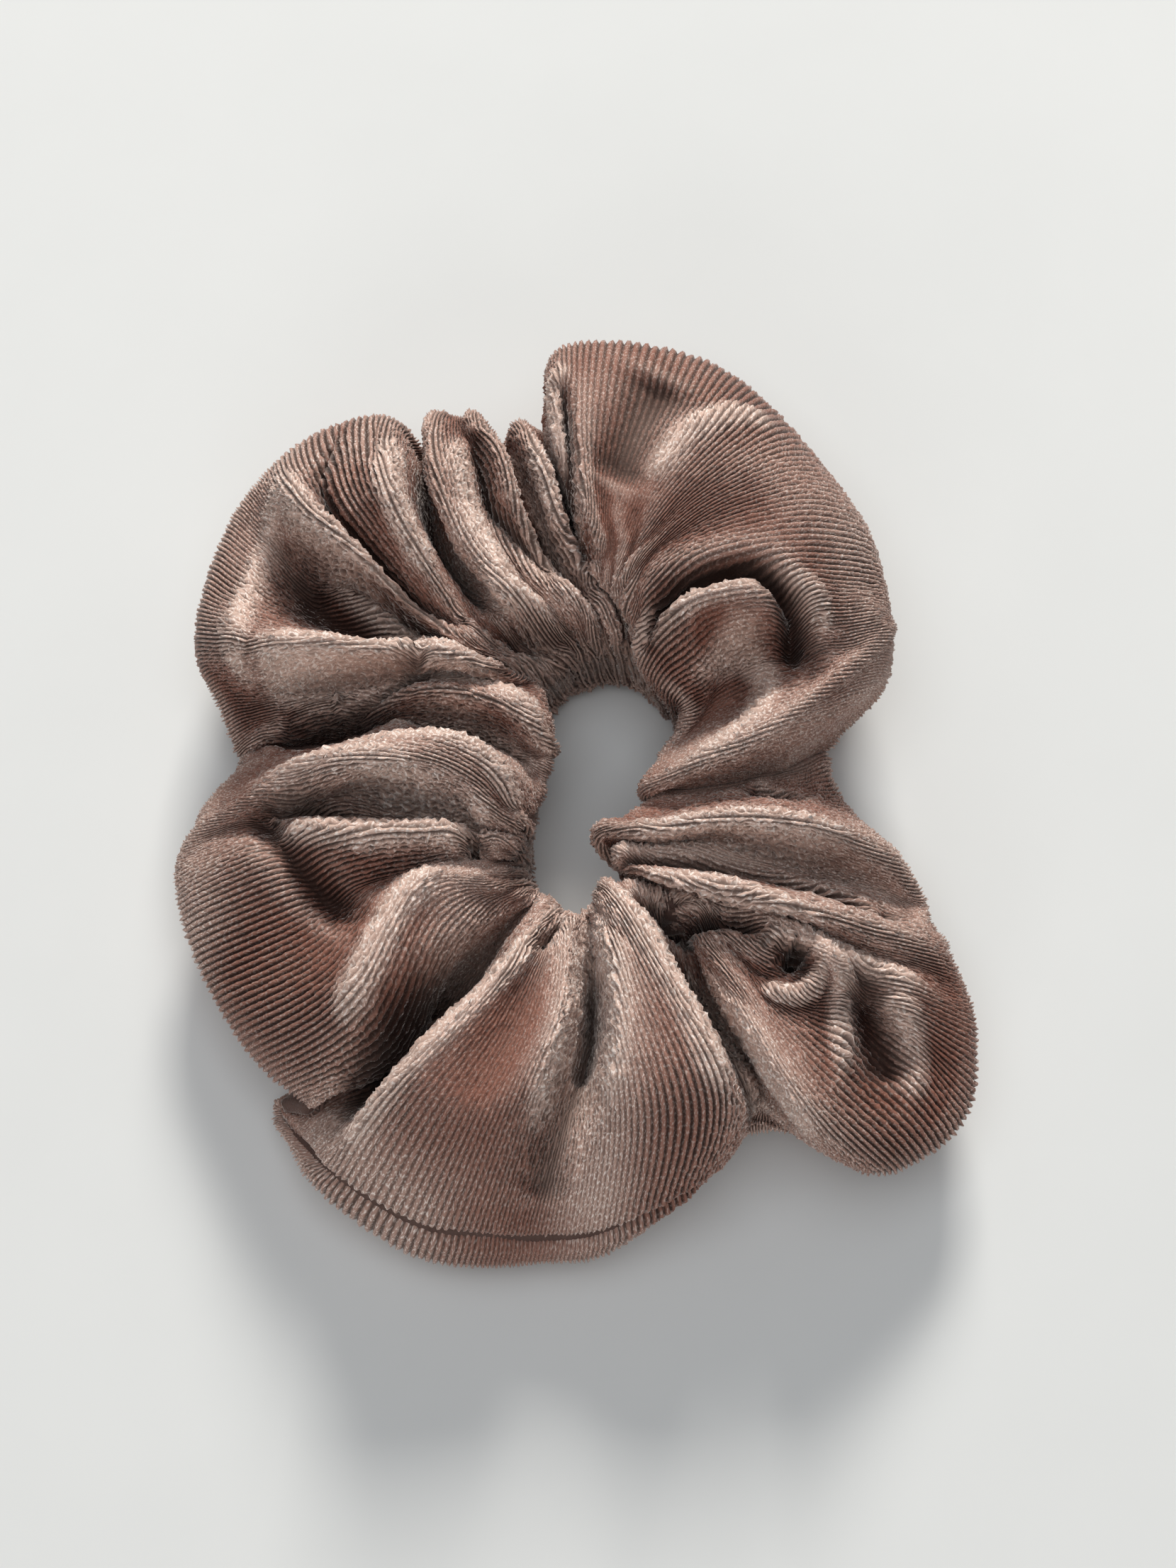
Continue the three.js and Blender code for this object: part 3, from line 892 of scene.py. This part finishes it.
class SCRUNCHIE_OT_elastic(bpy.types.Operator):
    """Braid the flat elastic, lap its ends and tack them together"""

    bl_idname = "scrunchie.add_elastic"
    bl_label = "Elastic"

    def execute(self, context):
        lap_at = math.pi
        lap_half = LAP_HALF / LOOP_HALF_X
        turn = np.linspace(lap_at - lap_half, lap_at + 2 * math.pi + lap_half, BAND_STEPS)
        ease = np.clip((turn - lap_at - lap_half) / LAP_EASE, 0, 1)
        inward = -ELASTIC_THICKNESS * (1 - ease * ease * (3 - 2 * ease))
        width, middle = ELASTIC_TOP - ELASTIC_BOTTOM, (ELASTIC_TOP + ELASTIC_BOTTOM) / 2

        across = np.linspace(-1, 1, BRAID_CORDS * CORD_STEPS + 1)
        cord = np.abs(np.sin(np.linspace(0, BRAID_CORDS * math.pi, len(across))))
        edge = np.clip((1 - np.abs(across)) / 0.05, 0, 1) ** 0.5
        out = np.concatenate([across, across[::-1]])
        side = np.concatenate([np.ones(len(across)), -np.ones(len(across))])
        cord, edge = np.concatenate([cord, cord[::-1]]), np.concatenate([edge, edge[::-1]])
        strand = np.cumsum(np.concatenate([[0], np.hypot(*np.diff(self.at(turn), axis=0).T)]))
        weave = np.sin(strand[:, None] * 4.2 + side * 1.5 + 5 * np.abs(out))
        half = ELASTIC_THICKNESS / 2 * edge * (0.72 + 0.16 * cord + 0.10 * weave * cord)
        normal = self.outward_at(turn)
        flat = self.at(turn) + normal * inward[:, None]
        points = np.empty((len(turn), len(out), 3))
        points[..., :2] = flat[:, None] + normal[:, None] * (half * side)[..., None]
        points[..., 2] = middle + out * width / 2

        rows, columns = points.shape[:2]
        faces = grid_faces(rows, columns)[: (rows - 1) * columns, ::-1]
        count = len(across)
        lid = np.arange(count - 1)
        first = np.stack([lid, lid + 1, columns - 2 - lid, columns - 1 - lid], 1)
        last = (first + (rows - 1) * columns)[:, ::-1]
        faces = np.concatenate([faces, first, last])
        band = new_piece("elastic_band", in_place(points), faces, elastic_material(context))
        across_the_stretch(band, "braided_elastic", "elastic_left", "elastic_right")

        thread = context.scene.scrunchie_thread
        radius = thread.thread_diameter / MM / 2
        lap_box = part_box("elastic_tack_thread")
        low, high = (np.array(corner) / MM - LOOP / MM for corner in lap_box)
        x_in, x_out = low[0] + radius, high[0] - radius
        z_low, z_high = low[2] + radius, high[2] - radius
        reach = (high[1] - low[1]) / 2 - radius
        corners = [(x_out, z_low), (x_out, z_high), (x_in, z_high), (x_in, z_low)]
        path = []
        for index in range(TACK_WRAPS * 4 + 1):
            x, z = corners[index % 4]
            path.append((x, (index / (TACK_WRAPS * 2) - 1) * -reach, z))
        tack = thread_piece("tack_stitches", [rounded(path)], radius, context)
        across_the_stretch(tack, "sewing_thread", "elastic_tack_thread")
        return {"FINISHED"}

    def at(self, turn):
        """The elastic's middle line, seen from above."""
        reach = loop_radius(turn)
        return np.stack([reach * np.cos(turn), reach * np.sin(turn)], 1)

    def outward_at(self, turn):
        """The way out of the loop, square to the elastic."""
        run = np.gradient(self.at(turn), axis=0)
        normal = np.stack([run[:, 1], -run[:, 0]], 1)
        return normal / np.linalg.norm(normal, axis=1, keepdims=True)


def rounded(path, steps=6):
    """A path with its corners rounded, as a list of points."""
    path = np.array(path, float)
    middles = (path[1:] + path[:-1]) / 2
    made = [path[0]]
    for before, corner, after in zip(middles, path[1:-1], middles[1:]):
        for t in np.linspace(0, 1, steps):
            nearer = corner + (before - corner) * 0.35 if t < 0.5 else corner
            made.append((1 - t) ** 2 * nearer + 2 * t * (1 - t) * corner
                        + t**2 * (corner + (after - corner) * 0.35))
    made.append(path[-1])
    return np.array(made)


THREAD_SIDES = 6
THREAD_END = np.array([[0, 1, 2, 5], [2, 3, 4, 5]])


def thread_piece(name, paths, radius, context):
    """Lengths of round thread along paths in millimetres, with closed ends."""
    points, faces, first = [], [], 0
    for path in paths:
        path = np.asarray(path, float)
        run = np.gradient(path, axis=0)
        run /= np.maximum(np.linalg.norm(run, axis=1, keepdims=True), 1e-9)
        up = np.cross(run, (0.31, 0.17, 0.93))
        up /= np.maximum(np.linalg.norm(up, axis=1, keepdims=True), 1e-9)
        beside = np.cross(run, up)
        turn = np.arange(THREAD_SIDES) / THREAD_SIDES * 2 * math.pi
        ends = np.full(len(path), radius)
        ends[0] = ends[-1] = radius * 0.45
        ring = up[:, None] * np.cos(turn)[:, None] + beside[:, None] * np.sin(turn)[:, None]
        points.append((path[:, None] + ring * ends[:, None, None]).reshape(-1, 3))
        tube = grid_faces(len(path), THREAD_SIDES)[: (len(path) - 1) * THREAD_SIDES]
        far_end = THREAD_END[:, ::-1] + (len(path) - 1) * THREAD_SIDES
        faces.append(first + np.concatenate([tube[:, ::-1], THREAD_END, far_end]))
        first += len(path) * THREAD_SIDES
    return new_piece(
        name, in_place(np.concatenate(points)), np.concatenate(faces), thread_material(context)
    )


# ---- The stitching ----------------------------------------------------------------------------

STITCH_STEPS = 8
CLOSING_FROM = 0.10


class SCRUNCHIE_OT_stitching(bpy.types.Operator):
    """Stitch the lengthwise seam and the seam that closes the sleeve"""

    bl_idname = "scrunchie.add_stitching"
    bl_label = "Stitching"

    def execute(self, context):
        sleeve, thread = context.scene.scrunchie_sleeve, context.scene.scrunchie_thread
        grid = np.array(context.scene["sleeve_grid"]).reshape(SLEEVE_ROWS, SLEEVE_COLUMNS, 3)
        radius = thread.thread_diameter / MM / 2
        girth = sleeve.cloth_girth / MM

        count = round(sleeve.cloth_length / thread.stitch_length)
        depth = sleeve.seam_depth / MM - radius
        along = np.linspace(0, 1, count * STITCH_STEPS, endpoint=False)
        line, out = self.seam_line(grid, along)
        paths = self.stitches(line, out, count, depth)
        seam = thread_piece("seam_stitches", paths, radius, context)
        across_the_stretch(seam, "sewing_thread", "seam_thread_left", "seam_thread_right")

        start, stop = CLOSING_FROM, SEAM_AT - 0.03
        count = round((stop - start) * girth / (thread.stitch_length / MM))
        around = np.linspace(start, stop, count * STITCH_STEPS, endpoint=False)
        line, out = self.closing_line(grid, around)
        paths = self.stitches(line, out, count, CLOSING_DEPTH - radius)
        closing = thread_piece("closing_stitches", paths, radius, context)
        across_the_stretch(closing, "sewing_thread", "closing_thread")
        return {"FINISHED"}

    def seam_line(self, grid, along):
        """The seam's line along the tube, and its normals."""
        around = np.linspace(SEAM_AT - 0.006, SEAM_BELOW + 0.006, 30)
        patch = press_in(smooth_grid(grid, along, around), around)[0]
        normal = np.cross(np.gradient(patch, axis=1), np.gradient(patch, axis=0))
        place = (seam_at(along) - around[0]) / (around[1] - around[0])
        below = place.astype(int)
        part = (place - below)[:, None]
        row = np.arange(len(along))
        line = patch[row, below] * (1 - part) + patch[row, below + 1] * part
        normal = normal[row, below]
        return line, normal / np.linalg.norm(normal, axis=1, keepdims=True)

    def closing_line(self, grid, around):
        """The closing seam's line round the tube, and its normals."""
        along = np.array([0.998, 0.0, 0.002])
        patch = press_in(smooth_grid(grid, along, around), around)[0]
        normal = np.cross(np.gradient(patch, axis=1)[1], patch[2] - patch[1])
        return patch[1], normal / np.linalg.norm(normal, axis=1, keepdims=True)

    def stitches(self, line, out, count, depth):
        """Separate stitches on a line, each rising from one hole and dipping into the next."""
        rise = np.sin(np.linspace(0, math.pi, STITCH_STEPS - 1)) ** 0.5
        height = (0.35 * rise - 0.25 - depth)[:, None]
        paths = []
        for index in range(count):
            part = slice(index * STITCH_STEPS, (index + 1) * STITCH_STEPS - 1)
            paths.append(line[part] + out[part] * height)
        return paths


# ---- Materials --------------------------------------------------------------------------------


class Wire:
    """An output of a node. Arithmetic on it adds the Math nodes that do it."""

    def __init__(self, shader, socket):
        self.shader = shader
        self.socket = socket

    def math(self, operation, first, second=0.0):
        return self.shader.node("ShaderNodeMath", {"operation": operation}, {0: first, 1: second})

    def __add__(self, other):
        return self.math("ADD", self, other)

    __radd__ = __add__

    def __sub__(self, other):
        return self.math("SUBTRACT", self, other)

    def __rsub__(self, other):
        return self.math("SUBTRACT", other, self)

    def __mul__(self, other):
        return self.math("MULTIPLY", self, other)

    def __pow__(self, other):
        return self.math("POWER", self, other)


class Shader:
    """The nodes of one material."""

    def __init__(self, name):
        self.material = bpy.data.materials.new(name)
        self.material.use_nodes = True
        self.tree = self.material.node_tree
        self.tree.nodes.clear()

    def node(self, kind, settings=None, values=None, output=0):
        """Adds a node: first its settings, then the values or wires of its sockets."""
        node = self.tree.nodes.new(kind)
        for name, value in (settings or {}).items():
            setattr(node, name, value)
        for name, value in (values or {}).items():
            if isinstance(value, Wire):
                self.tree.links.new(value.socket, node.inputs[name])
            elif node.inputs[name].type == "RGBA":
                node.inputs[name].default_value = (*value, 1)
            else:
                node.inputs[name].default_value = value
        return Wire(self, node.outputs[output]) if node.outputs else None

    def value_of(self, name):
        """A number stored on the points of the mesh."""
        return self.node("ShaderNodeAttribute", {"attribute_name": name}, output=2)

    def place(self):
        """The place on the object, in metres."""
        return self.node("ShaderNodeTexCoord", output=3)

    def noise(self, scale, detail=2.0, where=None):
        """Noise from 0 to 1, with scale features to the metre."""
        where = where or self.place()
        return self.node(
            "ShaderNodeTexNoise", None, {"Vector": where, "Scale": scale, "Detail": detail}
        )

    def ramp(self, wire, black, white):
        """From black at one value of a wire to white at another."""
        ramp = self.node("ShaderNodeValToRGB", None, {"Fac": wire})
        for stop, place, shade in zip(ramp.socket.node.color_ramp.elements, (black, white), (0, 1)):
            stop.position = place
            stop.color = (shade, shade, shade, 1)
        return ramp

    def blend(self, share, first, second):
        """A colour between two others."""
        settings = {"data_type": "RGBA", "clamp_factor": True}
        return self.node("ShaderNodeMix", settings, {0: share, 6: first, 7: second}, output=2)

    def bump(self, height, strength, distance):
        """A Normal from a height."""
        values = {"Height": height, "Strength": strength, "Distance": distance}
        return self.node("ShaderNodeBump", None, values)

    def finish(self, values):
        """Ends in one Principled shader."""
        surface = self.node("ShaderNodeBsdfPrincipled", None, values)
        self.node("ShaderNodeOutputMaterial", None, {"Surface": surface})
        return self.material


def velvet_material(context):
    """Ribbed velvet: dark in its grooves, partly as painted shade, with painted shade in its
    creases, hollows and hole wall, painted highlights on the fold crests, painted sheen where the
    pile lies over and painted glints at the pile's tips."""
    colours = context.scene.scrunchie_colours
    shader = Shader("ribbed velvet")
    crest, tuft = shader.value_of("crest"), shader.value_of("tuft")
    edge, hollow_shade = shader.value_of("edge"), shader.value_of("hollow_shade")
    pile = shader.value_of("pile")
    strip = shader.node("ShaderNodeAttribute", {"attribute_name": "strip"}, output=1)
    fibres = shader.node(
        "ShaderNodeVectorMath", {"operation": "MULTIPLY"}, {0: strip, 1: (5.5, 2.4, 1.0)}
    )
    # Painted sheen: paler where the pile lies over, in the listed patches and in soft random ones.
    patches = shader.ramp(shader.noise(85, 3), 0.36, 0.68)
    pile_sheen = shader.value_of("brushed_sheen") * 0.9 + patches * 0.14
    fleck = shader.ramp(shader.noise(1.0, 1, fibres), 0.52, 0.66)
    speck = shader.noise(2600, 2)

    open_ribs = shader.value_of("open_ribs")
    # Between the ribs the colour falls to the groove colour, partly as painted shade; painted shade
    # darkens the creases and hollows further.
    stripe = 1 - (1 - crest**2.2) * open_ribs
    depth = stripe + tuft * 0.30 + speck * 0.50 + edge * 0.20 - hollow_shade * 0.90 - 0.38
    shade = shader.blend(depth, colours.groove_shade, colours.pile)
    shade = shader.blend(pile_sheen * 0.60 * (stripe * 0.7 + 0.3), shade, colours.brushed_sheen)
    # Painted highlight along the crests of the folds.
    shade = shader.blend(edge * 0.85 * (stripe * 0.6 + 0.4), shade, colours.brushed_sheen)
    # Painted glints of the tips' colour, most on the sheen patches and along the crests, none in the
    # painted shade.
    shine = fleck * (pile_sheen + edge * 1.2 + 0.13) * (stripe * 0.7 + 0.3)
    shade = shader.blend(shine * (1 - hollow_shade), shade, colours.tip_glints)
    backing = shader.blend(shader.noise(900, 2), (0.10, 0.06, 0.05), (0.16, 0.10, 0.085))
    shade = shader.blend(pile, backing, shade)
    return shader.finish(
        {
            "Base Color": shade,
            "Roughness": 0.9 - fleck * 0.35,
            "Specular IOR Level": 0.25,
            "Sheen Weight": 0.8,
            "Sheen Roughness": 0.22,
            "Sheen Tint": (1.0, 0.87, 0.81),
            "Normal": shader.bump(shader.noise(3200, 2), 0.6, 0.0002),
        }
    )


def elastic_material(context):
    """Off-white braid, darker where the fine noise that makes its bump is low."""
    colours = context.scene.scrunchie_colours
    shader = Shader("braided elastic")
    thread = shader.noise(1800, 3)
    shade = shader.blend(thread, (0.55, 0.52, 0.47), colours.elastic)
    return shader.finish(
        {
            "Base Color": shade,
            "Roughness": 0.72 + thread * 0.2,
            "Sheen Weight": 0.2,
            "Normal": shader.bump(thread, 0.4, 0.0002),
        }
    )


def thread_material(context):
    """Spun thread with a faint twist of lighter fibre."""
    colours = context.scene.scrunchie_colours
    shader = Shader("sewing thread")
    fibre = shader.noise(2400, 2)
    lighter = [min(1.0, 1.9 * channel) for channel in colours.thread]
    return shader.finish(
        {
            "Base Color": shader.blend(fibre, colours.thread, lighter),
            "Roughness": 0.55 + fibre * 0.2,
            "Sheen Weight": 0.3,
            "Normal": shader.bump(fibre, 0.3, 0.0001),
        }
    )


# ---- The stage --------------------------------------------------------------------------------


class SCRUNCHIE_OT_stage(bpy.types.Operator):
    """Add the floor, the soft light and the camera"""

    bl_idname = "scrunchie.add_stage"
    bl_label = "Stage"

    def execute(self, context):
        scene = context.scene
        floor_shader = Shader("pale floor")
        grain = floor_shader.noise(40, 4)
        floor_material = floor_shader.finish(
            {
                "Base Color": floor_shader.blend(grain, (0.80, 0.81, 0.81), (0.84, 0.85, 0.85)),
                "Roughness": 0.75,
                "Specular IOR Level": 0.2,
            }
        )
        half = 1.5
        corners = [(-half, -half, 0), (half, -half, 0), (half, half, 0), (-half, half, 0)]
        floor = new_piece("floor", corners, [(0, 1, 2, 3)], floor_material)

        world = bpy.data.worlds.new("soft room")
        world.use_nodes = True
        background = world.node_tree.nodes["Background"]
        background.inputs["Color"].default_value = (0.96, 0.98, 1.0, 1)
        background.inputs["Strength"].default_value = 0.115
        scene.world = world
        self.window(scene, "window", (0.12, 1.5, 1.0), 0.5, 29.5, (1.0, 0.97, 0.91))
        self.window(scene, "ceiling", (-0.1, -0.1, 1.5), 1.2, 8.0, (0.95, 0.98, 1.0))
        self.window(scene, "room behind", (-0.3, -1.4, 0.6), 0.9, 4.5, (1.0, 0.98, 0.95))

        distance, half_width = 0.40, 0.077
        elevation = math.radians(73)
        aim = Vector((LOOP[0] - 3.6 * MM, LOOP[1] + 1.0 * MM, 15 * MM))
        back = Vector((0, -math.cos(elevation), math.sin(elevation)))
        lens = bpy.data.cameras.new("camera")
        lens.sensor_fit = "HORIZONTAL"
        lens.sensor_width = 36
        lens.lens = lens.sensor_width / 2 * distance / half_width
        lens.clip_start = 0.01
        camera = bpy.data.objects.new("camera", lens)
        camera.location = aim + back * distance
        camera.rotation_euler = (-back).to_track_quat("-Z", "Y").to_euler()
        scene.collection.objects.link(camera)
        scene.camera = camera
        scene.view_settings.view_transform = "Standard"
        return {"FINISHED"}

    def window(self, scene, name, place, size, power, colour):
        """A soft square light that faces the scrunchie."""
        light = bpy.data.lights.new(name, "AREA")
        light.size = size
        light.energy = power
        light.color = colour
        lamp = bpy.data.objects.new(name, light)
        lamp.location = place
        lamp.rotation_euler = (-Vector(place)).to_track_quat("-Z", "Y").to_euler()
        scene.collection.objects.link(lamp)


# ---- The add-on -------------------------------------------------------------------------------


class SCRUNCHIE_PT_panel(bpy.types.Panel):
    """Buttons for the pieces of the scrunchie, and the sizes and colours they use"""

    bl_idname = "SCRUNCHIE_PT_panel"
    bl_label = "Scrunchie"
    bl_space_type = "VIEW_3D"
    bl_region_type = "UI"
    bl_category = "Scrunchie"

    def draw(self, context):
        for name, group in SETTINGS.items():
            for prop in group.__annotations__:
                self.layout.prop(getattr(context.scene, name), prop)
        for operator in OPERATORS:
            self.layout.operator(operator.bl_idname)


OPERATORS = (
    SCRUNCHIE_OT_stage,
    SCRUNCHIE_OT_elastic,
    SCRUNCHIE_OT_sleeve,
    SCRUNCHIE_OT_stitching,
)
SETTINGS = {
    "scrunchie_sleeve": SleeveSettings,
    "scrunchie_thread": ThreadSettings,
    "scrunchie_colours": ColourSettings,
}


def register():
    for group in (*SETTINGS.values(), *OPERATORS, SCRUNCHIE_PT_panel):
        bpy.utils.register_class(group)
    for name, group in SETTINGS.items():
        setattr(bpy.types.Scene, name, PointerProperty(type=group))


def unregister():
    for name in SETTINGS:
        delattr(bpy.types.Scene, name)
    for group in (SCRUNCHIE_PT_panel, *reversed(OPERATORS), *reversed(SETTINGS.values())):
        bpy.utils.unregister_class(group)


def main():
    register()
    bpy.ops.scrunchie.add_stage()
    bpy.ops.scrunchie.add_elastic()
    bpy.ops.scrunchie.add_sleeve()
    bpy.ops.scrunchie.add_stitching()


if __name__ == "__main__":
    main()
